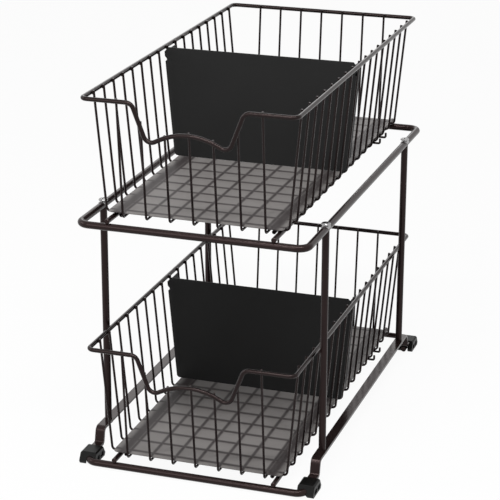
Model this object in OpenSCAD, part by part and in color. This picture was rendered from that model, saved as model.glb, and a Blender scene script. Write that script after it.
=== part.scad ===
// Two-tier pull-out cabinet basket.
// A tube and flat-bar frame carries two bent-wire baskets that slide forward on round rails.
// Frame: +Z up, the front is -Y, and the floor under the middle of the frame is the origin.

/* [Frame tubes] */
// Distance between the posts from side to side, centre to centre
post_span_x = 260; // [240:1:320]
// Distance between the posts from front to back, centre to centre
post_span_y = 344.8; // [300:0.1:380]
// Outer diameter of the frame tube
tube_d = 8.2; // [7:0.1:9]
// Wall of the post tube
tube_wall = 1; // [0.8:0.1:1.4]
// Length of the upper loop from front to back, centre to centre
loop_len = 488.6; // [460:0.1:560]
// Height of the centre line of the upper loop
loop_z = 292.4; // [270:0.1:360]
// Radius of the loop's corners, at the centre line
loop_corner_r = 12; // [10:1:40]
// Length of the threaded end in each post
post_thread_len = 16; // [13:1:30]

/* [Rails] */
// Diameter of the rails that the baskets slide on
rail_d = 5.8; // [5:0.1:6.5]
// Distance of a rail's centre line from the corner of the basket's side wall
rail_inset = 9.7; // [8.5:0.1:12]
// How far a rail reaches past the tube it rests on
rail_overhang = 3; // [0:0.5:6]
// Chamfer on the ends of rails and runners
rod_chamfer = 0.6; // [0.2:0.1:1]

/* [Foot frame] */
// Height of the top of the front and rear bars, where the lower rails rest
foot_frame_top = 9.15; // [8.8:0.05:14]
// Distance of the front bar's centre line from the middle of the frame
front_bar_y = 239.6; // [236:0.1:250]
// Diameter of the rear bar
rear_bar_d = 6.8; // [6:0.1:8]
// Distance of the rear bar's centre line from the middle of the frame
rear_bar_y = 242.5; // [238:0.1:250]
// Radius of the corners of the front and rear bars, at the centre line
foot_bar_corner_r = 12; // [8:1:15]

/* [Side straps] */
// Width of the flat bar
strap_w = 11; // [10:0.5:16]
// Thickness of the flat bar
strap_t = 3; // [2:0.1:3.2]
// Height of the middle of the flat bar between the posts
strap_z = 28; // [26:0.5:40]
// Where the flat bar turns down, measured from the middle of the frame
strap_knee_y = 196.5; // [194:0.5:197]
// Where the flat bar turns outward into its foot tab
strap_heel_y = 200.5; // [199:0.5:201]
// Bend radius of the upper knee, at the middle of the bar
knee_r = 6; // [3:0.5:7]
// Bend radius of the lower heel, at the middle of the bar
heel_r = 3.5; // [2:0.5:4]
// Where the foot tab ends, measured from the middle of the frame
tab_end_y = 226; // [218:0.5:230]

/* [Rubber feet] */
// Width of a rubber foot
foot_w = 19.5; // [17:0.5:24]
// Height of a rubber foot
foot_h = 13.4; // [13.2:0.1:18]
// Distance from the middle of the frame to the inner end of a foot
foot_in_y = 207; // [206.5:0.5:208]
// Distance from the middle of the frame to the outer end of a foot
foot_out_y = 238; // [234:0.5:242]
// Slope of the foot's ends, along Y
foot_slope = 6; // [3:0.5:8]
// How far the foot's sole stops short of its ends
foot_toe = 2; // [1:0.1:3]
// Chamfer along the foot's upper edges
foot_chamfer = 1.6; // [0.5:0.1:2]
// Depth of the moulded pockets in the foot's sides
foot_pocket_depth = 1.2; // [0.5:0.1:2]
// Clearance between the rubber and the metal in it
foot_fit = 0.2; // [0.1:0.05:0.4]

/* [Screws] */
// Diameter of the screw shanks
screw_d = 4; // [3:0.1:4.4]
// Diameter of the pan heads
screw_head_d = 10.6; // [8:0.1:11]
// Height of the pan heads
screw_head_h = 2.3; // [1.8:0.1:3.5]
// Chamfer on the screws' tips
screw_tip = 0.5; // [0.3:0.1:0.8]
// How deep a screw reaches into its post
screw_reach = 11; // [8:0.5:12.5]
// Clearance of the shank in its hole, on the radius
screw_clearance = 0.15; // [0.1:0.05:0.3]
// Diameter of the curved washers
washer_d = 12; // [11:0.1:13]
// Thickness of the curved washers
washer_t = 0.8; // [0.5:0.1:1.2]

/* [Baskets] */
// Diameter of the rim wire
rim_d = 5; // [4:0.1:6]
// Width of the rim, centre to centre
rim_w = 240.8; // [232:0.1:242]
// Length of the rim, centre to centre
rim_len = 493.2; // [480:0.1:510]
// How far the closed basket sits forward of the middle of the frame
basket_forward = 2.6; // [0:0.1:4]
// Height of the rim's centre line above the cross wires
rim_rise = 131.35; // [100:0.05:140]
// Radius of the rim's corners, at the centre line
rim_corner_r = 7; // [6:1:20]
// Diameter of the mesh wires
mesh_d = 2.7; // [2:0.1:3]
// How much each wall leans outward from the bottom to the rim
wall_flare = 12.1; // [6:0.1:14]
// Bend radius of the mesh wires, at the centre line
mesh_bend_r = 4.5; // [3:0.5:6]
// Number of cross wires
cross_count = 17; // [9:1:21]
// Distance between the cross wires
cross_pitch = 27.5; // [20:0.1:27.8]
// Number of lengthwise wires
long_count = 7; // [5:2:7]
// Gap between the outermost lengthwise wires and the runners
long_gap = 2.4; // [1:0.1:5]
// How far the mesh wires stand above the rim's centre line
mesh_over_rim = 2.5; // [1:0.1:2.5]
// Diameter of the runners under the cross wires
runner_d = 4.6; // [3.5:0.1:5.5]
// Gap between a runner and the rail beside it
runner_gap = 2; // [1.5:0.1:3]
// How far the runners reach past the outermost cross wires
runner_overhang = 1.5; // [0:0.1:3]
// Play between a basket and the rails
slide_play = 0.2; // [0.15:0.05:0.4]
// Gap left where one wire is welded across another
weld_gap = 0.05; // [0.02:0.01:0.1]

/* [Handle scoop] */
// Half of the scoop's width at the rim
scoop_half = 63; // [50:0.1:70]
// Depth of the two finger valleys, at the corner of the bend
valley_depth = 43.6; // [20:0.1:60]
// Distance of the finger valleys from the middle
valley_x = 45.7; // [42:0.1:50]
// Depth of the corner of the middle arch
arch_depth = 20.6; // [10:0.1:21]
// Radius of the middle arch
arch_r = 80; // [40:1:84]
// Bend radius at the top of the scoop's sides
scoop_top_r = 9; // [4:0.5:12]
// Bend radius of the finger valleys
valley_r = 6; // [4:0.5:7]

/* [Guide clips] */
// First cross wire, counted from the rear, that carries a guide clip
clip_first = 2; // [1:1:3]
// Number of guide clips on each side
clip_count = 2; // [1:1:3]
// Gap between a guide clip and the rail beside it
clip_gap = 1.4; // [0.8:0.1:2]
// Gap between a guide clip's turned-up end and the side wall beside it
clip_stand = 0.9; // [0.5:0.1:3]
// Height of a guide clip's turned-up end
clip_rise = 6; // [4:0.1:8]

/* [Liner and divider] */
// Thickness of the liner sheet
liner_t = 1; // [0.5:0.1:2]
// Distance from the liner's long edges to the corner of the side walls
liner_inset_x = 3.9; // [3.6:0.1:8]
// Distance from the liner's short edges to the corner of the end walls
liner_inset_y = 1.8; // [1.7:0.1:12]
// Corner radius of the liner
liner_corner_r = 6; // [2:0.5:15]
// Thickness of the divider sheet
divider_t = 1.2; // [0.8:0.1:2]
// Where the divider's plate stands between its two cross wires, counted in pitches from the front
divider_pitch_no = 7.72; // [7.4:0.01:7.8]
// Gap between the divider and the liner, the side walls or the rim
divider_gap = 0.35; // [0.3:0.05:1]
// Distance from the divider's upper edge down to the rim's centre line
divider_rise = 1.9; // [-8:0.1:2.4]
// Size of the cut across the divider's upper corners
divider_cut = 5.5; // [3:0.5:8]
// Depth of the notch below each upper corner of the divider
notch_depth = 2; // [1:0.1:4]
// Height of the notch below each upper corner of the divider
notch_h = 6; // [4:0.5:10]
// Depth of the divider's folded flanges
flange_depth = 27; // [18:0.5:27]
// Distance from the flange's ends to the top and bottom of the plate
flange_inset = 3.5; // [2:0.5:20]
// Height of the notched ears that grip a cross wire
ear_h = 14; // [8:0.5:20]
// Chamfer on the outer corners of the ears
ear_chamfer = 2; // [1:0.1:3]
// Thickness of each ear
ear_t = 1.6; // [1:0.1:2.5]
// How far the ears reach out past the flange
ear_reach = 2.2; // [1:0.1:2.4]
// Gap between an ear and the wire it grips
ear_gap = 0.5; // [0.3:0.1:1]

/* [Hidden] */
$fn = 32;

bronze = [0.20, 0.15, 0.14];
wire_bronze = [0.16, 0.13, 0.12];
steel = [0.75, 0.75, 0.76];
black_rubber = [0.12, 0.12, 0.12];
smoke_plastic = [0.45, 0.43, 0.42];
black_plastic = [0.10, 0.10, 0.10];

past = 1;
SIDES = [-1, 1];

tube_r = tube_d / 2;
rail_r = rail_d / 2;
rim_r = rim_d / 2;
mesh_r = mesh_d / 2;
runner_r = runner_d / 2;
side_x = post_span_x / 2;
post_y = post_span_y / 2;
loop_y = loop_len / 2;

// The rails lie on the loop above and on the front and rear bars below
upper_rail_z = loop_z + tube_r + weld_gap + rail_r;
lower_rail_z = foot_frame_top + weld_gap + rail_r;

// The straps' tabs lie on the same two bars
tab_z = foot_frame_top + weld_gap + strap_t / 2;
strap_top = strap_z + strap_t / 2;
strap_bottom = strap_z - strap_t / 2;
post_bottom = strap_top + weld_gap;

// A basket's own zero is the centre line of its cross wires at the bottom
cross_over_rail = rail_r + slide_play + mesh_r;
upper_basket_z = upper_rail_z + cross_over_rail;
lower_basket_z = lower_rail_z + cross_over_rail;
mesh_inset = rim_r + weld_gap + mesh_r;
wall_top_x = rim_w / 2 - mesh_inset;
wall_top_y = rim_len / 2 - mesh_inset;
wall_foot_x = wall_top_x - wall_flare;
wall_foot_y = wall_top_y - wall_flare;
rail_x = wall_foot_x - rail_inset;
runner_x = rail_x - rail_r - runner_gap - runner_r;
long_z = -(mesh_d + weld_gap);
runner_z = -(mesh_r + weld_gap + runner_r);
lean = wall_flare / rim_rise;
cross_first = -cross_pitch * (cross_count - 1) / 2;
long_first = -(runner_x - runner_r - long_gap - mesh_r);
long_pitch = -2 * long_first / (long_count - 1);

liner_z = mesh_r + weld_gap;
divider_foot = liner_z + liner_t + divider_gap;
divider_top = rim_rise + divider_rise;
divider_y = cross_first + divider_pitch_no * cross_pitch;
gripped_y = cross_first + ceil(divider_pitch_no) * cross_pitch;

// Length of straight that a bend takes up on each side of its corner
function bend_share(turn, radius) = radius * tan(turn / 2);

// One bend of the 2-D section given as a child: it heads up +Z and leans over towards +X
module bend_piece(turn, radius) {
  multmatrix([[-1, 0, 0, radius], [0, 0, 1, 0], [0, 1, 0, 0], [0, 0, 0, 1]])
    rotate_extrude(angle = turn)
      translate([radius, 0])
        children();
}

// Bar bent from straight runs: it starts up +Z, and each bend is [turn, roll before it, radius]
module bent_bar(runs, bends, i = 0) {
  if (runs[i] > 0)
    linear_extrude(runs[i]) children();
  if (i < len(bends)) {
    radius = bends[i][2];
    translate([0, 0, runs[i]])
      rotate([0, 0, bends[i][1]]) {
        bend_piece(bends[i][0], radius) children();
        translate([radius, 0, 0])
          rotate([0, bends[i][0], 0])
            translate([-radius, 0, 0])
              bent_bar(runs, bends, i + 1) children();
      }
  }
}

// Unit vector from one point to the next
function heading(a, b) = (b - a) / norm(b - a);

// Points along the corner p, rounded to radius r between a and b
function rounded(a, p, b, r, steps) =
  let (
    d0 = heading(a, p),
    d1 = heading(p, b),
    turn = acos(d0 * d1),
    inward = (d1 - (d1 * d0) * d0) / norm(d1 - (d1 * d0) * d0),
    start = p - bend_share(turn, r) * d0
  )
  [
    for (k = [0:steps])
      start + r * (sin(turn * k / steps) * d0 + (1 - cos(turn * k / steps)) * inward)
  ];

// Ring of points round p, in the plane that halves the turn from d0 to d1
function ring(p, d0, d1, up, r, sides) =
  let (
    m = (d0 + d1) / norm(d0 + d1),
    u = (up - (up * m) * m) / norm(up - (up * m) * m),
    v = cross(m, u),
    b = norm(d1 - d0) < 1e-6 ? [0, 0, 0] : (d1 - d0) / norm(d1 - d0),
    stretch = 1 / (m * d0) - 1
  )
  [
    for (j = [0:sides - 1])
      let (o = r * (cos(360 * j / sides) * u + sin(360 * j / sides) * v))
        p + o + stretch * (o * b) * b
  ];

// Wire along a path of points; a closed wire joins its last point to its first
module wire(path, up, r, sides, closed = false) {
  n = len(path);
  points = [
    for (i = [0:n - 1])
      let (
        into = i > 0 ? heading(path[i - 1], path[i]) :
          closed ? heading(path[n - 1], path[0]) : heading(path[0], path[1]),
        out = i < n - 1 ? heading(path[i], path[i + 1]) :
          closed ? heading(path[n - 1], path[0]) : into
      )
        each ring(path[i], into, out, up, r, sides)
  ];
  walls = [
    for (i = [0:closed ? n - 1 : n - 2])
      for (j = [0:sides - 1])
        let (a = i * sides, b = ((i + 1) % n) * sides, k = (j + 1) % sides)
          [a + j, b + j, b + k, a + k]
  ];
  caps = closed ? [] : [
    [for (j = [0:sides - 1]) j],
    [for (j = [0:sides - 1]) n * sides - 1 - j]
  ];
  polyhedron(points, concat(walls, caps));
}

// A piece and its mirror image across the middle plane
module both_sides() {
  children();
  mirror([1, 0, 0]) children();
}

// Straight rod along Y with chamfered ends
module rod_along_y(x, y_from, y_to, z, r) {
  len_y = y_to - y_from;
  translate([x, y_from, z])
    rotate([-90, 0, 0])
      rotate_extrude()
        polygon([
          [0, 0], [r - rod_chamfer, 0], [r, rod_chamfer],
          [r, len_y - rod_chamfer], [r - rod_chamfer, len_y], [0, len_y]
        ]);
}

// Four copies at the posts
module at_posts() {
  for (sx = SIDES)
    for (sy = SIDES)
      translate([sx * side_x, sy * post_y, 0])
        children();
}

module screw_hole() {
  cylinder(h = 4 * tube_d, d = screw_d + 2 * screw_clearance, center = true);
}

// ---- Frame ----

module upper_loop() {
  half_x = side_x - loop_corner_r;
  run_y = loop_len - 2 * loop_corner_r;
  square_bend = [90, 0, loop_corner_r];
  color(bronze)
    difference() {
      translate([0, loop_y, loop_z])
        rotate([0, 90, 0])
          bent_bar(
            [half_x, run_y, 2 * half_x, run_y, half_x],
            [[90, -90, loop_corner_r], square_bend, square_bend, square_bend]
          ) circle(tube_r);
      translate([0, 0, loop_z]) at_posts() screw_hole();
    }
}

module upper_rail(side) {
  reach = loop_y + rail_overhang;
  color(bronze) rod_along_y(side * rail_x, -reach, reach, upper_rail_z, rail_r);
}

// Tube post: its top is coped to the loop, and both ends are threaded for a screw
module post(sx, sy) {
  color(bronze)
    translate([sx * side_x, sy * post_y, 0])
      difference() {
        translate([0, 0, post_bottom]) cylinder(h = loop_z - post_bottom, r = tube_r);
        translate([0, 0, loop_z])
          rotate([90, 0, 0])
            cylinder(h = 3 * tube_d, r = tube_r + weld_gap, center = true);
        translate([0, 0, post_bottom + post_thread_len])
          cylinder(h = loop_z - tube_r - post_bottom - 2 * post_thread_len, r = tube_r - tube_wall);
        translate([0, 0, post_bottom - past])
          cylinder(h = loop_z - post_bottom, d = screw_d + 2 * screw_clearance);
      }
}

// Pan-head screw with a cross recess, pointing down from z = 0 under its head
module pan_screw(length) {
  recess_w = screw_head_d / 8;
  recess_len = screw_head_d * 0.55;
  difference() {
    rotate_extrude()
      polygon([
        [0, -length], [screw_d / 2 - screw_tip, -length], [screw_d / 2, -length + screw_tip],
        [screw_d / 2, 0], [screw_head_d / 2, 0], [screw_head_d / 2, screw_head_h * 0.4],
        [screw_head_d * 0.42, screw_head_h * 0.8], [screw_head_d * 0.28, screw_head_h],
        [0, screw_head_h]
      ]);
    for (a = [0, 90])
      rotate(a)
        translate([-recess_len / 2, -recess_w / 2, screw_head_h * 0.45])
          cube([recess_len, recess_w, screw_head_h]);
  }
}

top_seat_z = loop_z + tube_r + washer_t + 2 * weld_gap;

module top_screws() {
  length = top_seat_z - (loop_z - tube_r) + screw_reach;
  color(steel) translate([0, 0, top_seat_z]) at_posts() pan_screw(length);
}

// Washer curved to the top of the loop's tube
module curved_washers() {
  washer_r = tube_r + weld_gap + washer_t;
  color(steel)
    translate([0, 0, loop_z])
      at_posts()
        difference() {
          intersection() {
            rotate([90, 0, 0]) cylinder(h = washer_d, r = washer_r, center = true);
            cylinder(h = 2 * tube_d, d = washer_d);
            translate([-washer_d, -washer_d, tube_r * 0.35]) cube([2 * washer_d, 2 * washer_d, tube_d]);
          }
          rotate([90, 0, 0]) cylinder(h = 2 * washer_d, r = tube_r + weld_gap, center = true);
          screw_hole();
        }
}

module bottom_screws() {
  length = strap_t + 2 * weld_gap + screw_reach;
  color(steel)
    translate([0, 0, strap_bottom - weld_gap])
      at_posts()
        rotate([180, 0, 0])
          pan_screw(length);
}

// Outline of a strip of even thickness along a flat path
function strip(path, half) =
  let (
    n = len(path),
    edge = [
      for (i = [0:n - 1])
        let (
          into = i > 0 ? heading(path[i - 1], path[i]) : heading(path[0], path[1]),
          out = i < n - 1 ? heading(path[i], path[i + 1]) : into,
          m = (into + out) / norm(into + out)
        )
          half / (m * into) * [-m[1], m[0]]
    ]
  )
  concat(
    [for (i = [0:n - 1]) path[i] + edge[i]],
    [for (i = [n - 1:-1:0]) path[i] - edge[i]]
  );

// Flat bar under two posts: it turns down at its ends and out into the feet
module side_strap(side) {
  tab_end = [tab_end_y, tab_z];
  heel = [strap_heel_y, tab_z];
  knee = [strap_knee_y, strap_z];
  path = [
    [-tab_end_y, tab_z],
    each rounded([-tab_end_y, tab_z], [-strap_heel_y, tab_z], [-strap_knee_y, strap_z], heel_r, 6),
    each rounded([-strap_heel_y, tab_z], [-strap_knee_y, strap_z], knee, knee_r, 6),
    each rounded([-strap_knee_y, strap_z], knee, heel, knee_r, 6),
    each rounded(knee, heel, tab_end, heel_r, 6),
    tab_end
  ];
  color(bronze)
    translate([side * side_x, 0, 0])
      difference() {
        rotate([90, 0, 90])
          linear_extrude(strap_w, center = true)
            polygon(strip(path, strap_t / 2));
        for (sy = SIDES)
          translate([0, sy * post_y, strap_z])
            screw_hole();
      }
}

// Length of straight at the ends of a foot bar, which turn in under the straps' tabs
function bar_return(bar_y) = bar_y - strap_heel_y - foot_bar_corner_r;

// Bar near the floor, drawn at the front
module foot_bar(bar_y, d) {
  square_bend = [90, 0, foot_bar_corner_r];
  translate([-side_x, -strap_heel_y, foot_frame_top - d / 2])
    rotate([90, 0, 0])
      bent_bar(
        [bar_return(bar_y), 2 * (side_x - foot_bar_corner_r), bar_return(bar_y)],
        [square_bend, square_bend]
      ) circle(d = d);
}

module front_bar() {
  color(bronze) foot_bar(front_bar_y, tube_d);
}

module rear_rod() {
  color(bronze) mirror([0, 1, 0]) foot_bar(rear_bar_y, rear_bar_d);
}

module lower_rail(side) {
  color(bronze)
    rod_along_y(
      side * rail_x, -front_bar_y - rail_overhang, rear_bar_y + rail_overhang, lower_rail_z, rail_r
    );
}

// Moulded foot pushed over the strap's tab; it also straddles the end of the bar under the tab
module foot(sx, sy) {
  shoulder = foot_h * 0.25;
  color(black_rubber)
    translate([sx * side_x, 0, 0])
      mirror([0, sy < 0 ? 1 : 0, 0])
        difference() {
          intersection() {
            rotate([90, 0, 90])
              linear_extrude(foot_w, center = true)
                polygon([
                  [foot_in_y + foot_toe, 0], [foot_out_y - foot_toe, 0], [foot_out_y, shoulder],
                  [foot_out_y - foot_slope, foot_h], [foot_in_y + foot_slope, foot_h],
                  [foot_in_y, shoulder]
                ]);
            rotate([90, 0, 0])
              linear_extrude(4 * foot_out_y, center = true)
                polygon([
                  [-foot_w / 2, 0], [foot_w / 2, 0], [foot_w / 2, foot_h - foot_chamfer],
                  [foot_w / 2 - foot_chamfer, foot_h], [foot_chamfer - foot_w / 2, foot_h],
                  [-foot_w / 2, foot_h - foot_chamfer]
                ]);
          }
          tab_slot();
          foot_pockets();
          if (sy < 0) bar_groove(sx, front_bar_y, tube_d);
          else bar_groove(sx, rear_bar_y, rear_bar_d);
        }
}

module tab_slot() {
  slot_w = strap_w + 2 * foot_fit;
  slot_z = foot_frame_top + weld_gap - foot_fit;
  translate([-slot_w / 2, foot_in_y - past, slot_z])
    cube([slot_w, tab_end_y + foot_fit - foot_in_y + past, strap_t + 2 * foot_fit]);
}

// Two moulded pockets in each side of a foot
module foot_pockets() {
  pocket_len = (foot_out_y - foot_in_y) * 0.3;
  pocket_h = foot_h * 0.4;
  for (sx = SIDES)
    for (k = SIDES)
      translate([
        sx * foot_w / 2, (foot_in_y + foot_out_y) / 2 + k * pocket_len * 0.62, foot_h * 0.38
      ])
        cube([2 * foot_pocket_depth, pocket_len, pocket_h], center = true);
}

// Channel for the bar's end, open towards the floor
module bar_groove(sx, bar_y, d) {
  groove_r = d / 2 + foot_fit;
  bar_z = foot_frame_top - d / 2;
  drop = bar_z + past;
  runs = [bar_return(bar_y) + past, side_x];
  bends = [[90, sx > 0 ? 180 : 0, foot_bar_corner_r]];
  translate([0, strap_heel_y - past, bar_z])
    rotate([-90, 0, 0])
      bent_bar(runs, bends) circle(groove_r);
  translate([0, strap_heel_y - past, bar_z - drop / 2])
    rotate([-90, 0, 0])
      bent_bar(runs, bends) square([2 * groove_r, drop], center = true);
}

// ---- Baskets: each is drawn on its own zero and lifted to its tier ----

module in_basket(tier_z) {
  translate([0, -basket_forward, tier_z]) children();
}

// The rim's scoop: a middle arch, a valley on each side of it and a steep side up to the rim
arch_slope = atan2(valley_depth - arch_depth, valley_x);
arch_top = rim_rise - arch_depth - arch_r * (1 / cos(arch_slope) - 1);
arch_end = arch_r * sin(arch_slope);

// Height of the rim's centre line at a distance from the middle of the front
function scoop_height(x) =
  x >= scoop_half ? rim_rise :
  x >= valley_x ? rim_rise - valley_depth * (scoop_half - x) / (scoop_half - valley_x) :
  x >= arch_end ? rim_rise - valley_depth + (valley_depth - arch_depth) * (1 - x / valley_x) :
  arch_top - arch_r + sqrt(arch_r * arch_r - x * x);

// Closed loop; the four corners come first, then the scoop from right to left
module rim(tier_z) {
  x = rim_w / 2;
  y = rim_len / 2;
  low = rim_rise - valley_depth;
  corners = [
    [-scoop_half, -y, rim_rise], [-x, -y, rim_rise], [-x, y, rim_rise], [x, y, rim_rise],
    [x, -y, rim_rise], [scoop_half, -y, rim_rise], [valley_x, -y, low],
    [0, -y, rim_rise - arch_depth], [-valley_x, -y, low]
  ];
  radii = [
    scoop_top_r, rim_corner_r, rim_corner_r, rim_corner_r, rim_corner_r, scoop_top_r, valley_r,
    arch_r, valley_r
  ];
  steps = [4, 5, 5, 5, 5, 4, 5, 8, 5];
  n = len(corners);
  path = [
    for (i = [0:n - 1])
      each rounded(corners[(i + n - 1) % n], corners[i], corners[(i + 1) % n], radii[i], steps[i])
  ];
  color(wire_bronze)
    in_basket(tier_z)
      wire(path, [0, 0, 1], rim_r, 12, true);
}

// Path of a U-shaped wire through its four corners
function u_path(p) = [
  p[0],
  each rounded(p[0], p[1], p[2], mesh_bend_r, 3),
  each rounded(p[1], p[2], p[3], mesh_bend_r, 3),
  p[3]
];

// U-shaped wires from side to side, welded inside the rim; they rest on the rails
module cross_wires(tier_z) {
  top = rim_rise + mesh_over_rim;
  top_x = wall_foot_x + lean * top;
  path = u_path([[-top_x, 0, top], [-wall_foot_x, 0, 0], [wall_foot_x, 0, 0], [top_x, 0, top]]);
  color(wire_bronze)
    in_basket(tier_z)
      for (i = [0:cross_count - 1])
        translate([0, cross_first + i * cross_pitch, 0])
          wire(path, [0, 1, 0], mesh_r, 8);
}

// U-shaped wires from front to back, under the cross wires; the front ends follow the scoop
module long_wires(tier_z) {
  color(wire_bronze)
    in_basket(tier_z)
      for (i = [0:long_count - 1])
        long_wire(long_first + i * long_pitch);
}

module long_wire(x) {
  front_rise = scoop_height(abs(x)) - long_z;
  rear_rise = rim_rise - long_z;
  front_lean = wall_flare / front_rise;
  rear_lean = wall_flare / rear_rise;
  front_top = front_rise + mesh_over_rim;
  rear_top = rear_rise + mesh_over_rim;
  path = u_path([
    [0, -wall_foot_y - front_lean * front_top, front_top], [0, -wall_foot_y, 0],
    [0, wall_foot_y, 0], [0, wall_foot_y + rear_lean * rear_top, rear_top]
  ]);
  translate([x, 0, long_z])
    wire(path, [1, 0, 0], mesh_r, 8);
}

// Runners: rods welded under the cross wires, inside the rails
module runners(tier_z) {
  color(wire_bronze)
    in_basket(tier_z)
      both_sides()
        rod_along_y(
          runner_x, cross_first - runner_overhang, runner_overhang - cross_first, runner_z, runner_r
        );
}

// Guide clips: short hooks under the rear cross wires, outside the rails
module guide_clips(tier_z) {
  inner = rail_x + rail_r + clip_gap;
  outer = wall_foot_x + mesh_d + clip_stand;
  bend_r = mesh_r * 1.5;
  color(wire_bronze)
    in_basket(tier_z)
      both_sides()
        for (k = [0:clip_count - 1])
          translate([inner, -cross_first - (clip_first + k) * cross_pitch, long_z])
            rotate([0, 90, 0])
              bent_bar([outer - inner - bend_r, clip_rise - bend_r], [[90, 180, bend_r]])
                circle(mesh_r);
}

// Liner: a flat sheet lying on the cross wires
module liner(tier_z) {
  w = 2 * (wall_foot_x - liner_inset_x);
  l = 2 * (wall_foot_y - liner_inset_y);
  r = liner_corner_r;
  color(smoke_plastic)
    in_basket(tier_z)
      translate([0, 0, liner_z])
        linear_extrude(liner_t)
          union() {
            square([w - 2 * r, l], center = true);
            square([w, l - 2 * r], center = true);
            for (sx = SIDES)
              for (sy = SIDES)
                translate([sx * (w / 2 - r), sy * (l / 2 - r)])
                  circle(r);
          }
}

// Divider: a trapezoid plate with folded flanges and notched ears that grip a cross wire
module divider(tier_z) {
  color(black_plastic)
    in_basket(tier_z)
      union() {
        divider_plate();
        for (side = SIDES)
          mirror([side < 0 ? 1 : 0, 0, 0]) {
            divider_flange();
            divider_ears();
          }
      }
}

// Half width of the divider's flanges at a height, just inside the side wall's wires
function divider_half(z) = wall_foot_x + lean * z - mesh_r - divider_gap;

// Half width of the divider's plate at a height: it reaches between the wires, inside the rim
function plate_half(z) = wall_foot_x + lean * z + mesh_r + weld_gap - divider_gap;

// Plate: its upper corners are cut, with a notch below each
module divider_plate() {
  foot_cut = mesh_bend_r / 2;
  foot_z = divider_foot + foot_cut;
  cut_z = divider_top - divider_cut;
  notch_top = cut_z - divider_cut;
  notch_low = notch_top - notch_h;
  edge = [
    [plate_half(divider_foot) - foot_cut, divider_foot], [plate_half(foot_z), foot_z],
    [plate_half(notch_low), notch_low],
    [plate_half(notch_low) - notch_depth, notch_low + notch_depth],
    [plate_half(notch_top) - notch_depth, notch_top - notch_depth],
    [plate_half(notch_top), notch_top], [plate_half(cut_z), cut_z],
    [plate_half(divider_top) - divider_cut, divider_top]
  ];
  n = len(edge);
  translate([0, divider_y + divider_t, 0])
    rotate([90, 0, 0])
      linear_extrude(divider_t)
        polygon(concat(edge, [for (i = [n - 1:-1:0]) [-edge[i][0], edge[i][1]]]));
}

module divider_flange() {
  low = 2 * mesh_bend_r + flange_inset;
  high = divider_top - flange_inset;
  translate([0, divider_y + flange_depth, 0])
    rotate([90, 0, 0])
      linear_extrude(flange_depth)
        polygon([
          [divider_half(low) - divider_t, low], [divider_half(low), low],
          [divider_half(high), high], [divider_half(high) - divider_t, high]
        ]);
}

// A pair of ears on each side of the gripped wire
module divider_ears() {
  high = divider_top - flange_inset - ear_chamfer;
  low = high - ear_h;
  reach = mesh_r + ear_gap;
  for (k = SIDES)
    translate([0, gripped_y + k * (reach + ear_t / 2) + ear_t / 2, 0])
      rotate([90, 0, 0])
        linear_extrude(ear_t)
          polygon([
            [divider_half(low) - divider_t / 2, low],
            [divider_half(low) + ear_reach, low + ear_chamfer],
            [divider_half(high) + ear_reach, high - ear_chamfer],
            [divider_half(high) - divider_t / 2, high]
          ]);
}

upper_loop();
upper_rail(-1);  // upper_rail_left
upper_rail(1);  // upper_rail_right
post(-1, -1);  // post_front_left
post(1, -1);  // post_front_right
post(-1, 1);  // post_rear_left
post(1, 1);  // post_rear_right
top_screws();
curved_washers();
bottom_screws();
side_strap(-1);  // side_strap_left
side_strap(1);  // side_strap_right
front_bar();
rear_rod();
lower_rail(-1);  // lower_rail_left
lower_rail(1);  // lower_rail_right
foot(-1, -1);  // foot_front_left
foot(1, -1);  // foot_front_right
foot(-1, 1);  // foot_rear_left
foot(1, 1);  // foot_rear_right
rim(upper_basket_z);  // upper_rim
cross_wires(upper_basket_z);  // upper_cross_wires
long_wires(upper_basket_z);  // upper_long_wires
runners(upper_basket_z);  // upper_runners
guide_clips(upper_basket_z);  // upper_guide_clips
liner(upper_basket_z);  // upper_liner
divider(upper_basket_z);  // upper_divider
rim(lower_basket_z);  // lower_rim
cross_wires(lower_basket_z);  // lower_cross_wires
long_wires(lower_basket_z);  // lower_long_wires
runners(lower_basket_z);  // lower_runners
guide_clips(lower_basket_z);  // lower_guide_clips
liner(lower_basket_z);  // lower_liner
divider(lower_basket_z);  // lower_divider
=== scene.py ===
# A two-tier pull-out cabinet basket: a lacquered tube frame on rubber feet carries two bent-wire
# baskets, each with a flat liner and a lift-out divider. Lengths are in metres, in the CAD's frame:
# +Z is up, the front is -Y, and the floor under the middle of the frame is the origin.
import math

import bmesh
import bpy
from mathutils import Matrix, Quaternion, Vector


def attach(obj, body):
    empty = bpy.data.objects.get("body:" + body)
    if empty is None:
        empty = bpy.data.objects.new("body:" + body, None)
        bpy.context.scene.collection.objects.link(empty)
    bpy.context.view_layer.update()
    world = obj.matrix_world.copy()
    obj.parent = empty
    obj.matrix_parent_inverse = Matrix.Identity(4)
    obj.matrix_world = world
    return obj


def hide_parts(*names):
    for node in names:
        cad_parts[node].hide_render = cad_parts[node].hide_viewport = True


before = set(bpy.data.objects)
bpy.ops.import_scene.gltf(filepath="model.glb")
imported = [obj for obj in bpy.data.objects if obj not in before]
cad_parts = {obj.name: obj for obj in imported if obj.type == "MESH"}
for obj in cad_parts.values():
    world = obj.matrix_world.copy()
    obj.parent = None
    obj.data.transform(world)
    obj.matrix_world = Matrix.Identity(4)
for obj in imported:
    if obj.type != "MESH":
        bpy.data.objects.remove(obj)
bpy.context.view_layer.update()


# ---- Camera ----
# A long lens in front of the organiser, a little to its right and above the upper basket.
camera_data = bpy.data.cameras.new("camera")
camera_data.sensor_fit = "HORIZONTAL"
camera_data.sensor_width = 36
camera_data.lens = 137.7
camera_data.shift_x = 0.0078
camera_data.shift_y = 0.0078
camera_data.clip_end = 50
camera = bpy.data.objects.new("camera", camera_data)
bpy.context.scene.collection.objects.link(camera)
bpy.context.scene.camera = camera
camera.location = (0.6744, -2.0528, 0.9611)
sight = Vector((-0.0192, 0, 0.188)) - camera.location
roll = Quaternion((0, 0, 1), math.radians(0.13))
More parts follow.
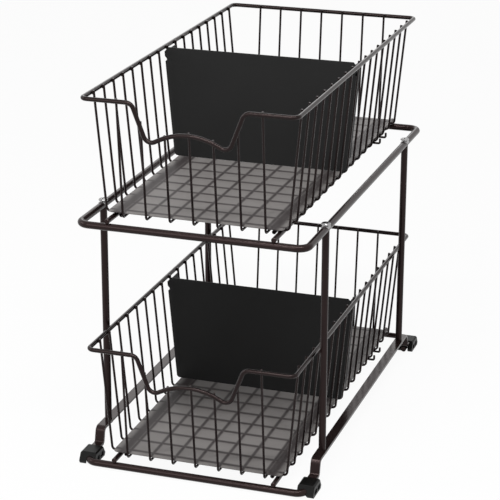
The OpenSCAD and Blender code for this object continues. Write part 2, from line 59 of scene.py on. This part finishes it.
camera.rotation_mode = "QUATERNION"
camera.rotation_quaternion = sight.to_track_quat("-Z", "Y") @ roll


# ---- Tube frame ----
# The loop, posts, rails, front bar and side straps are mild steel, welded and then stoved with a
# dark oil-rubbed bronze lacquer. The CAD's own nodes are right, so they only get the finish.
def linear(hex_code):
    """An sRGB hex value as a linear colour."""
    parts = [int(hex_code[i : i + 2], 16) / 255 for i in (1, 3, 5)]
    return [c / 12.92 if c <= 0.04045 else ((c + 0.055) / 1.055) ** 2.4 for c in parts] + [1]


def add_node(tree, kind, feeds=None, **settings):
    """Adds one node with its settings; feeds are the values or sockets that go into its inputs."""
    node = tree.nodes.new(kind)
    for name, value in settings.items():
        setattr(node, name, value)
    for name, value in (feeds or {}).items():
        if isinstance(value, bpy.types.NodeSocket):
            tree.links.new(value, node.inputs[name])
        else:
            node.inputs[name].default_value = value
    return node


def new_finish(name):
    """A new material and its emptied node tree."""
    finish = bpy.data.materials.new(name)
    finish.use_nodes = True
    finish.node_tree.nodes.clear()
    return finish, finish.node_tree


colour_a, colour_b, mixed = 6, 7, 2  # a Mix node's two colour inputs and its colour output


def bronze_lacquer(name, deep, warm, roughness, shine):
    """Stoved bronze lacquer: dark reddish brown, with a fine orange peel and a soft gloss."""
    finish, tree = new_finish(name)
    place = add_node(tree, "ShaderNodeTexCoord").outputs["Object"]
    # The colour drifts over 40 mm or so, as the lacquer is thicker in one place than in another.
    drift = add_node(tree, "ShaderNodeTexNoise", {"Vector": place, "Scale": 25, "Detail": 3})
    tint = add_node(
        tree,
        "ShaderNodeMix",
        {"Factor": drift.outputs["Fac"], colour_a: linear(deep), colour_b: linear(warm)},
        data_type="RGBA",
    )
    # Orange peel is about 1 mm across; it is drawn at 1.6 mm so that it shows.
    peel = add_node(tree, "ShaderNodeTexNoise", {"Vector": place, "Scale": 620, "Detail": 2})
    bump = add_node(
        tree,
        "ShaderNodeBump",
        {"Height": peel.outputs["Fac"], "Strength": 0.04, "Distance": 0.0004},
    )
    gloss = add_node(
        tree,
        "ShaderNodeMapRange",
        {
            "Value": drift.outputs["Fac"],
            "From Min": 0.3,
            "From Max": 0.7,
            "To Min": roughness - 0.03,
            "To Max": roughness + 0.05,
        },
    )
    shader = add_node(
        tree,
        "ShaderNodeBsdfPrincipled",
        {
            "Base Color": tint.outputs[mixed],
            "Roughness": gloss.outputs["Result"],
            "Specular IOR Level": shine,
            "Specular Tint": linear("#ffe2e0"),
            "Normal": bump.outputs["Normal"],
        },
    )
    add_node(tree, "ShaderNodeOutputMaterial", {"Surface": shader.outputs["BSDF"]})
    return finish


def put_on(finish, *names):
    """Gives CAD nodes a finish."""
    for name in names:
        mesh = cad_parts[name].data
        mesh.materials.clear()
        mesh.materials.append(finish)


tube_lacquer = bronze_lacquer(
    "oil_rubbed_bronze_lacquer_on_tube", deep="#1a1212", warm="#281e1d", roughness=0.19, shine=0.22
)
put_on(
    tube_lacquer,
    "upper_loop", "upper_rail_left", "upper_rail_right",
    "post_front_left", "post_front_right", "post_rear_left", "post_rear_right",
    "side_strap_left", "side_strap_right", "front_bar", "rear_rod",
    "lower_rail_left", "lower_rail_right",
)


# ---- Screws and washers ----
# Pan-head screws with a cross recess and small curved washers, zinc plated: a bright, slightly
# blotchy metal.
def zinc_plate(name):
    """Bright zinc plating: a pale grey mirror, with faint blotches from its crystals."""
    finish, tree = new_finish(name)
    place = add_node(tree, "ShaderNodeTexCoord").outputs["Object"]
    # The crystals are far finer than a millimetre; they are drawn at 1.5 mm so that they show.
    crystals = add_node(tree, "ShaderNodeTexVoronoi", {"Vector": place, "Scale": 650})
    tone = add_node(
        tree,
        "ShaderNodeMix",
        {
            "Factor": crystals.outputs["Distance"],
            colour_a: linear("#b4b3b2"),
            colour_b: linear("#838283"),
        },
        data_type="RGBA",
    )
    shader = add_node(
        tree,
        "ShaderNodeBsdfPrincipled",
        {"Base Color": tone.outputs[mixed], "Metallic": 1, "Roughness": 0.22},
    )
    add_node(tree, "ShaderNodeOutputMaterial", {"Surface": shader.outputs["BSDF"]})
    return finish


zinc = zinc_plate("bright_zinc_plate")
put_on(zinc, "top_screws", "curved_washers", "bottom_screws")


# ---- Rubber feet ----
# Moulded black rubber boots pushed over the straps' tabs. The mould's spark-eroded steel leaves a
# fine grain on them. The CAD's own nodes are right, so they only get the finish.
def moulded_rubber(name):
    """Black moulded rubber: charcoal with a dull sheen, a fine grain and a dusty bloom."""
    finish, tree = new_finish(name)
    place = add_node(tree, "ShaderNodeTexCoord").outputs["Object"]
    # The grain is about 0.3 mm across and is drawn at 1.1 mm so that it shows. Bloom is 11 mm wide.
    grain = add_node(tree, "ShaderNodeTexNoise", {"Vector": place, "Scale": 900, "Detail": 3})
    bloom = add_node(tree, "ShaderNodeTexNoise", {"Vector": place, "Scale": 90, "Detail": 4})
    tone = add_node(
        tree,
        "ShaderNodeMix",
        {
            "Factor": bloom.outputs["Fac"],
            colour_a: linear("#080808"),
            colour_b: linear("#111110"),
        },
        data_type="RGBA",
    )
    bump = add_node(
        tree,
        "ShaderNodeBump",
        {"Height": grain.outputs["Fac"], "Strength": 0.22, "Distance": 0.0004},
    )
    shader = add_node(
        tree,
        "ShaderNodeBsdfPrincipled",
        {
            "Base Color": tone.outputs[mixed],
            "Roughness": 0.38,
            "Specular IOR Level": 0.1,
            "Normal": bump.outputs["Normal"],
        },
    )
    add_node(tree, "ShaderNodeOutputMaterial", {"Surface": shader.outputs["BSDF"]})
    return finish


boot_rubber = moulded_rubber("black_boot_rubber")
put_on(boot_rubber, "foot_front_left", "foot_front_right", "foot_rear_left", "foot_rear_right")


# ---- Basket wires ----
# Each basket is a 5 mm rim wire with a handle scoop bent into its front, and 2.7 mm mesh wires
# resistance-welded to it and to each other. It is dipped in the same lacquer after welding. Its
# copy of the lacquer here is painted far darker than the tube's: painted shade that makes the thin
# wires look nearly black. The rim and the mesh are drawn again with rounder bends, and runners and
# clips keep the CAD's mesh.
end_width = 0.72  # a cropped end's width as a share of the wire's
end_reach = 0.25  # how far it stands out, as a share of the wire's radius


def close_end(mesh, edges, outward, radius):
    """Closes one end of a wire with a small cropped edge."""
    grown = bmesh.ops.extrude_edge_only(mesh, edges=edges)["geom"]
    ring = [v for v in grown if isinstance(v, bmesh.types.BMVert)]
    middle = sum((v.co for v in ring), Vector()) / len(ring)
    bmesh.ops.scale(mesh, vec=[end_width] * 3, verts=ring, space=Matrix.Translation(-middle))
    bmesh.ops.translate(mesh, verts=ring, vec=outward * radius * end_reach)
    grown_edges = [e for e in grown if isinstance(e, bmesh.types.BMEdge)]
    outline = [e for e in grown_edges if all(v in ring for v in e.verts)]
    bmesh.ops.contextual_create(mesh, geom=outline)


facet_turn = 9  # most degrees that one facet of a bend turns
seam = 0.00002  # ends of a closed wire that are nearer than this are joined


def bend_wire(mesh, start, heading, radius, moves, sides, closed=False):
    """Draws a wire from a ring: a number is a straight run, and (towards, turn, bend) curves it."""
    heading = Vector(heading).normalized()
    tip = Vector(start)
    upright = Matrix.Translation(tip) @ heading.to_track_quat("Z", "X").to_matrix().to_4x4()
    ring = bmesh.ops.create_circle(mesh, segments=sides, radius=radius, matrix=upright)["verts"]
    edges = list({e for v in ring for e in v.link_edges})
    first, first_heading = list(edges), heading.copy()
    for move in moves:
        if isinstance(move, tuple):
            towards, turn, bend = move
            centre = tip + Vector(towards) * bend
            axis = heading.cross(Vector(towards))
            steps = max(3, math.ceil(math.degrees(turn) / facet_turn))
            spun = bmesh.ops.spin(mesh, geom=edges, cent=centre, axis=axis, angle=turn, steps=steps)
            edges = [e for e in spun["geom_last"] if isinstance(e, bmesh.types.BMEdge)]
            turned = Quaternion(axis, turn)
            tip = centre + turned @ (tip - centre)
            heading = turned @ heading
        else:
            grown = bmesh.ops.extrude_edge_only(mesh, edges=edges)["geom"]
            ring = {v for v in grown if isinstance(v, bmesh.types.BMVert)}
            grown_edges = [e for e in grown if isinstance(e, bmesh.types.BMEdge)]
            edges = [e for e in grown_edges if set(e.verts) <= ring]
            bmesh.ops.translate(mesh, verts=list(ring), vec=heading * move)
            tip = tip + heading * move
    if closed:
        bmesh.ops.remove_doubles(mesh, verts=mesh.verts, dist=seam)
    else:
        close_end(mesh, first, -first_heading, radius)
        close_end(mesh, edges, heading, radius)


def weld(mesh, at, size):
    """A weld nugget: a low bead between two wires."""
    bead = Matrix.Translation(at) @ Matrix.Diagonal((*size, 1))
    bmesh.ops.create_uvsphere(mesh, u_segments=8, v_segments=6, radius=1, matrix=bead)


sharp_turn = 40  # degrees between two faces from which their edge stays sharp


def finish_piece(mesh, name, body, finish):
    """Turns a bmesh into a smooth-shaded piece that rides on a body."""
    bmesh.ops.recalc_face_normals(mesh, faces=mesh.faces)
    data = bpy.data.meshes.new(name)
    mesh.to_mesh(data)
    mesh.free()
    data.shade_smooth()
    data.set_sharp_from_angle(angle=math.radians(sharp_turn))
    data.materials.append(finish)
    piece = bpy.data.objects.new(name, data)
    bpy.context.scene.collection.objects.link(piece)
    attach(piece, body)
    return piece


rim_r, mesh_r = 0.0025, 0.00135
rim_half_x, rim_half_y, rim_rise, rim_corner = 0.1204, 0.2466, 0.13135, 0.007
basket_y = -0.0026
basket_z = {"upper": 0.3039, "lower": 0.01655}
scoop_half, valley_x, valley_depth, arch_depth = 0.063, 0.0457, 0.0451, 0.0201
scoop_top_r, valley_r, arch_r = 0.009, 0.009, 0.073
wall_flare, mesh_bend, over_rim, weld_gap = 0.0121, 0.0045, 0.0025, 0.00005
foot_x = rim_half_x - rim_r - weld_gap - mesh_r - wall_flare
foot_y = rim_half_y - rim_r - weld_gap - mesh_r - wall_flare
long_z = -(2 * mesh_r + weld_gap)
cross_pitch, long_pitch, runner_x = 0.0275, 0.02715, 0.0875
cross_beside, long_beside = 8, 3  # wires on each side of the middle one
cross_ys = [i * cross_pitch for i in range(-cross_beside, cross_beside + 1)]
long_xs = [i * long_pitch for i in range(-long_beside, long_beside + 1)]
rim_bead, cross_bead, runner_bead = (
    (0.0013, 0.0013, 0.0024), (0.0014, 0.0014, 0.0007), (0.0016, 0.0014, 0.0008)
)
arch_slope = math.atan2(valley_depth - arch_depth, valley_x)
side_slope = math.atan2(valley_depth, scoop_half - valley_x)
arch_top = rim_rise - arch_depth - arch_r * (1 / math.cos(arch_slope) - 1)


def tangent(turn, bend):
    """Straight that a bend takes up on each side of its corner."""
    return bend * math.tan(turn / 2)


def scoop_height(x):
    """Height of the rim above the cross wires at a distance from the middle of the front."""
    if x >= scoop_half:
        return rim_rise
    if x >= valley_x:
        return rim_rise - valley_depth * (scoop_half - x) / (scoop_half - valley_x)
    if x >= arch_r * math.sin(arch_slope):
        return rim_rise - valley_depth + (valley_depth - arch_depth) * (1 - x / valley_x)
    return arch_top - arch_r + math.sqrt(arch_r**2 - x**2)


def sloped(turn, sign):
    """The unit vector square to a heading that slopes by a turn in the plane of the front."""
    return (math.sin(turn), 0, sign * math.cos(turn))


def draw_rim(mesh, z):
    """The rim wire, from the crest of its arch round the basket and back."""
    both = arch_slope + side_slope
    in_arch, in_valley = tangent(2 * arch_slope, arch_r), tangent(both, valley_r)
    in_top = tangent(side_slope, scoop_top_r)
    shallow = math.hypot(valley_x, valley_depth - arch_depth) - in_arch - in_valley
    steep = math.hypot(scoop_half - valley_x, valley_depth) - in_valley - in_top
    shoulder = rim_half_x - scoop_half - in_top - rim_corner
    side, rear = 2 * (rim_half_y - rim_corner), 2 * (rim_half_x - rim_corner)
    quarter = math.pi / 2
    bend_wire(
        mesh,
        (0, basket_y - rim_half_y, z + arch_top),
        (1, 0, 0),
        rim_r,
        [
            ((0, 0, -1), arch_slope, arch_r), shallow,
            (sloped(arch_slope, 1), both, valley_r), steep,
            (sloped(side_slope, -1), side_slope, scoop_top_r), shoulder,
            ((0, 1, 0), quarter, rim_corner), side,
            ((-1, 0, 0), quarter, rim_corner), rear,
            ((0, -1, 0), quarter, rim_corner), side,
            ((1, 0, 0), quarter, rim_corner), shoulder,
            ((0, 0, -1), side_slope, scoop_top_r), steep,
            (sloped(side_slope, 1), both, valley_r), shallow,
            (sloped(arch_slope, -1), arch_slope, arch_r),
        ],
        sides=16,
        closed=True,
    )


def draw_u_wire(mesh, top_a, foot_a, foot_b, top_b):
    """A mesh wire bent to a U through its four corners."""
    down, along, up = foot_a - top_a, foot_b - foot_a, top_b - foot_b
    turn_a, turn_b = down.angle(along), along.angle(up)
    share_a, share_b = tangent(turn_a, mesh_bend), tangent(turn_b, mesh_bend)
    in_a = (along.normalized() - down.normalized() * math.cos(turn_a)).normalized()
    in_b = (up.normalized() - along.normalized() * math.cos(turn_b)).normalized()
    crop = mesh_r * end_reach
    bend_wire(
        mesh,
        top_a + down.normalized() * crop,
        down,
        mesh_r,
        [
            down.length - share_a - crop, (tuple(in_a), turn_a, mesh_bend),
            along.length - share_a - share_b, (tuple(in_b), turn_b, mesh_bend),
            up.length - share_b - crop,
        ],
        sides=10,
    )


# The wires' lacquer is a darker copy of the tube's; the difference is painted shade, not a
# different finish
darkened_wire_lacquer = bronze_lacquer(
    "bronze_lacquer_darkened_as_shade_on_wire", deep="#090606", warm="#110b0b", roughness=0.17, shine=0.26
)
lean = wall_flare / rim_rise
top_rise = rim_rise + over_rim
for tier in ("upper", "lower"):
    body, z = tier + "_basket", basket_z[tier]
    rim = bmesh.new()
    draw_rim(rim, z)
    rim_piece = finish_piece(rim, tier + "_rim_wire", body, darkened_wire_lacquer)
    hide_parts(tier + "_rim")

    cross = bmesh.new()
    for y in cross_ys:
        out = foot_x + lean * top_rise
        here = Vector((0, basket_y + y, z))
        draw_u_wire(
            cross,
            here + Vector((-out, 0, top_rise)), here + Vector((-foot_x, 0, 0)),
            here + Vector((foot_x, 0, 0)), here + Vector((out, 0, top_rise)),
        )
        for side in (-1, 1):
            weld(cross, here + Vector((side * (rim_half_x - rim_r), 0, rim_rise)), rim_bead)
            weld(cross, here + Vector((side * runner_x, 0, -mesh_r)), runner_bead)
    cross_piece = finish_piece(cross, tier + "_cross_wire_mesh", body, darkened_wire_lacquer)
    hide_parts(tier + "_cross_wires")

    lengthwise = bmesh.new()
    for x in long_xs:
        front = scoop_height(abs(x)) - long_z
        rear = rim_rise - long_z
        here = Vector((x, basket_y, z + long_z))
        front_out = foot_y + wall_flare * (front + over_rim) / front
        rear_out = foot_y + wall_flare * (rear + over_rim) / rear
        draw_u_wire(
            lengthwise,
            here + Vector((0, -front_out, front + over_rim)), here + Vector((0, -foot_y, 0)),
            here + Vector((0, foot_y, 0)), here + Vector((0, rear_out, rear + over_rim)),
        )
        weld(lengthwise, here + Vector((0, -(rim_half_y - rim_r), front)), rim_bead)
        weld(lengthwise, here + Vector((0, rim_half_y - rim_r, rear)), rim_bead)
        for y in cross_ys:
            weld(lengthwise, here + Vector((0, y, mesh_r)), cross_bead)
    long_name = tier + "_long_wire_mesh"
    long_piece = finish_piece(lengthwise, long_name, body, darkened_wire_lacquer)
    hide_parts(tier + "_long_wires")
    put_on(darkened_wire_lacquer, tier + "_runners", tier + "_guide_clips")


# ---- Liners ----
# A flat sheet of smoke-grey frosted plastic lies loose on the cross wires. The wires and runners
# under it are painted on it as darker lines and bands: painted shadow that stands in for their
# shade and their show-through. What is further away is lost in the frosting.
def near_line(tree, offset, half_width):
    """One on a line, falling softly to zero at twice its half width."""
    away = add_node(tree, "ShaderNodeMath", {0: offset}, operation="ABSOLUTE")
    return add_node(
        tree,
        "ShaderNodeMapRange",
        {
            "Value": away.outputs[0],
            "From Min": half_width * 0.4,
            "From Max": half_width * 2,
            "To Min": 1,
            "To Max": 0,
        },
        interpolation_type="SMOOTHSTEP",
    ).outputs["Result"]


def near_wires(tree, along, middle, pitch, half_width):
    """The same for each of an even row of wires, one of which lies at the middle."""
    shifted = add_node(
        tree, "ShaderNodeMath", {0: along, 1: pitch / 2 - middle}, operation="ADD"
    ).outputs[0]
    across = add_node(
        tree, "ShaderNodeMath", {0: shifted, 1: pitch, 2: 0}, operation="WRAP"
    ).outputs[0]
    centred = add_node(
        tree, "ShaderNodeMath", {0: across, 1: -pitch / 2}, operation="ADD"
    ).outputs[0]
    return near_line(tree, centred, half_width)


runner_shade_x = runner_x + 0.001  # the runner's shade takes in some of the rail's beside it


def smoke_sheet(name):
    """Frosted smoke-grey polypropylene: dull and milky, with painted shadows of the wires and
    runners under it.
    """
    finish, tree = new_finish(name)
    place = add_node(tree, "ShaderNodeTexCoord").outputs["Object"]
    cloud = add_node(tree, "ShaderNodeTexNoise", {"Vector": place, "Scale": 18, "Detail": 3})
    tone = add_node(
        tree,
        "ShaderNodeMix",
        {
            "Factor": cloud.outputs["Fac"],
            colour_a: linear("#827e7c"),
            colour_b: linear("#908c8a"),
        },
        data_type="RGBA",
    )
    axes = add_node(tree, "ShaderNodeSeparateXYZ", {"Vector": place}).outputs
    # Painted shadow: darker lines over the cross wires and long wires and darker bands over the
    # runners, standing in for their shade and show-through
    cross_wire_shadows = near_wires(tree, axes["Y"], basket_y, cross_pitch, half_width=0.0021)
    long_wire_shadows = near_wires(tree, axes["X"], 0, long_pitch, half_width=0.0016)
    aside = add_node(tree, "ShaderNodeMath", {0: axes["X"]}, operation="ABSOLUTE")
    from_runner = add_node(
        tree, "ShaderNodeMath", {0: aside.outputs[0], 1: -runner_shade_x}, operation="ADD"
    )
    runner_shadow_bands = near_line(tree, from_runner.outputs[0], half_width=0.0054)
    wire_shadow_grid = add_node(tree, "ShaderNodeMath", {0: cross_wire_shadows, 1: long_wire_shadows}, operation="MAXIMUM")
    painted_shadow_mask = add_node(
        tree, "ShaderNodeMath", {0: wire_shadow_grid.outputs[0], 1: runner_shadow_bands}, operation="MAXIMUM"
    )
    # The painted shadow colour is mixed in over the wires and runners
    shadow_painted_tone = add_node(
        tree,
        "ShaderNodeMix",
        {
            "Factor": painted_shadow_mask.outputs[0],
            colour_a: tone.outputs[mixed],
            colour_b: linear("#454040"),
        },
        data_type="RGBA",
    )
    # The frosting is about 0.2 mm across and is drawn at 0.7 mm so that it shows.
    grain = add_node(tree, "ShaderNodeTexNoise", {"Vector": place, "Scale": 1400, "Detail": 2})
    bump = add_node(
        tree,
        "ShaderNodeBump",
        {"Height": grain.outputs["Fac"], "Strength": 0.15, "Distance": 0.0002},
    )
    shader = add_node(
        tree,
        "ShaderNodeBsdfPrincipled",
        {
            "Base Color": shadow_painted_tone.outputs[mixed],
            "Roughness": 0.5,
            "Specular IOR Level": 0.25,
            "Alpha": 0.88,
            "Normal": bump.outputs["Normal"],
        },
    )
    add_node(tree, "ShaderNodeOutputMaterial", {"Surface": shader.outputs["BSDF"]})
    return finish


liner_sheet = smoke_sheet("frosted_smoke_polypropylene")
put_on(liner_sheet, "upper_liner", "lower_liner")


# ---- Dividers ----
# A trapezoid of black moulded plastic with two folded flanges, held to a cross wire by notched
# ears. The CAD's own nodes are right, so they only get the finish.
def moulded_black(name):
    """Black ABS, moulded with a fine grain: nearly matt, with slow changes of tone."""
    finish, tree = new_finish(name)
    place = add_node(tree, "ShaderNodeTexCoord").outputs["Object"]
    # The grain is about 0.3 mm across and is drawn at 0.9 mm so that it shows.
    grain = add_node(tree, "ShaderNodeTexNoise", {"Vector": place, "Scale": 1100, "Detail": 3})
    flow = add_node(tree, "ShaderNodeTexNoise", {"Vector": place, "Scale": 12, "Detail": 4})
    tone = add_node(
        tree,
        "ShaderNodeMix",
        {
            "Factor": flow.outputs["Fac"],
            colour_a: linear("#1e1e1e"),
            colour_b: linear("#262626"),
        },
        data_type="RGBA",
    )
    bump = add_node(
        tree,
        "ShaderNodeBump",
        {"Height": grain.outputs["Fac"], "Strength": 0.2, "Distance": 0.0003},
    )
    shader = add_node(
        tree,
        "ShaderNodeBsdfPrincipled",
        {
            "Base Color": tone.outputs[mixed],
            "Roughness": 0.55,
            "Specular IOR Level": 0.16,
            "Normal": bump.outputs["Normal"],
        },
    )
    add_node(tree, "ShaderNodeOutputMaterial", {"Surface": shader.outputs["BSDF"]})
    return finish


divider_abs = moulded_black("matt_black_moulded_abs")
put_on(divider_abs, "upper_divider", "lower_divider")


# ---- Floor and light ----
# A flat floor of studio paper, a plain world and large soft lamps. The camera, mirrored rays and
# transmitted rays see white, and the floor keeps a faint shadow. To other rays the paper is grey,
# so that it sends little light up at the object.
glow_share = 0.94  # the rest of what is seen is lit paper, which carries the shadow


def studio_white(name):
    """Matt studio paper that is seen as white, with only a trace of shadow."""
    finish, tree = new_finish(name)
    ray = add_node(tree, "ShaderNodeLightPath")
    seen = add_node(
        tree,
        "ShaderNodeMath",
        {0: ray.outputs["Is Camera Ray"], 1: ray.outputs["Is Glossy Ray"]},
        operation="MAXIMUM",
    )
    seen = add_node(
        tree,
        "ShaderNodeMath",
        {0: seen.outputs[0], 1: ray.outputs["Is Transmission Ray"]},
        operation="MAXIMUM",
    )
    share = add_node(
        tree, "ShaderNodeMath", {0: seen.outputs[0], 1: glow_share}, operation="MULTIPLY"
    )
    tone = add_node(
        tree,
        "ShaderNodeMix",
        {"Factor": seen.outputs[0], colour_a: linear("#8e8e8e"), colour_b: linear("#ffffff")},
        data_type="RGBA",
    )
    paper = add_node(tree, "ShaderNodeBsdfDiffuse", {"Color": tone.outputs[mixed]})
    glow = add_node(tree, "ShaderNodeEmission", {"Color": (1, 1, 1, 1), "Strength": 1.0})
    mix = add_node(
        tree, "ShaderNodeMixShader", {0: share.outputs[0], 1: paper.outputs[0], 2: glow.outputs[0]}
    )
    add_node(tree, "ShaderNodeOutputMaterial", {"Surface": mix.outputs[0]})
    return finish


floor_reach = 4  # from the middle to each side
floor_drop = 0.0003  # keeps the feet's soles clear of the paper
floor_mesh = bmesh.new()
bmesh.ops.create_grid(floor_mesh, x_segments=1, y_segments=1, size=floor_reach)
floor_data = bpy.data.meshes.new("floor")
floor_mesh.to_mesh(floor_data)
floor_mesh.free()
floor_data.materials.append(studio_white("white_studio_paper"))
floor = bpy.data.objects.new("floor", floor_data)
bpy.context.scene.collection.objects.link(floor)
floor.location = (0, 0, -floor_drop)

world = bpy.data.worlds.new("studio")
bpy.context.scene.world = world
world.use_nodes = True
sky = world.node_tree
sky.nodes.clear()
sky_ray = add_node(sky, "ShaderNodeLightPath")
sky_seen = add_node(
    sky,
    "ShaderNodeMath",
    {0: sky_ray.outputs["Is Camera Ray"], 1: sky_ray.outputs["Is Transmission Ray"]},
    operation="MAXIMUM",
)
sky_seen = add_node(
    sky,
    "ShaderNodeMath",
    {0: sky_seen.outputs[0], 1: sky_ray.outputs["Is Glossy Ray"]},
    operation="MAXIMUM",
)
sky_ambient = add_node(sky, "ShaderNodeBackground", {"Color": (1, 1, 1, 1), "Strength": 0.24})
sky_white = add_node(sky, "ShaderNodeBackground", {"Color": (1, 1, 1, 1), "Strength": 1.0})
sky_mix = add_node(
    sky,
    "ShaderNodeMixShader",
    {0: sky_seen.outputs[0], 1: sky_ambient.outputs[0], 2: sky_white.outputs[0]},
)
add_node(sky, "ShaderNodeOutputWorld", {"Surface": sky_mix.outputs[0]})


def soft_lamp(name, at, aim, width, height, power):
    """A softbox of a width and a height in metres and a power in watts, aimed at a point."""
    lamp = bpy.data.lights.new(name, "AREA")
    lamp.shape = "RECTANGLE"
    lamp.size = width
    lamp.size_y = height
    lamp.energy = power
    piece = bpy.data.objects.new(name, lamp)
    bpy.context.scene.collection.objects.link(piece)
    piece.location = at
    piece.rotation_mode = "QUATERNION"
    piece.rotation_quaternion = (Vector(aim) - Vector(at)).to_track_quat("-Z", "Y")


soft_lamp("overhead_strip", (0.33, -1.2, 2.2), (0, -0.1, 0.3), 2.0, 0.2, 39)
soft_lamp("front_softbox", (-0.7, -2.2, 1.2), (0, 0, 0.2), 1.2, 1.2, 11)
soft_lamp("left_softbox", (-2.3, -0.9, 1.5), (0, 0, 0.2), 1.0, 1.0, 9)
soft_lamp("rear_softbox", (-0.9, 2.6, 1.35), (0, 0, 0.25), 1.2, 1.2, 4)

bpy.context.scene.view_settings.view_transform = "Standard"
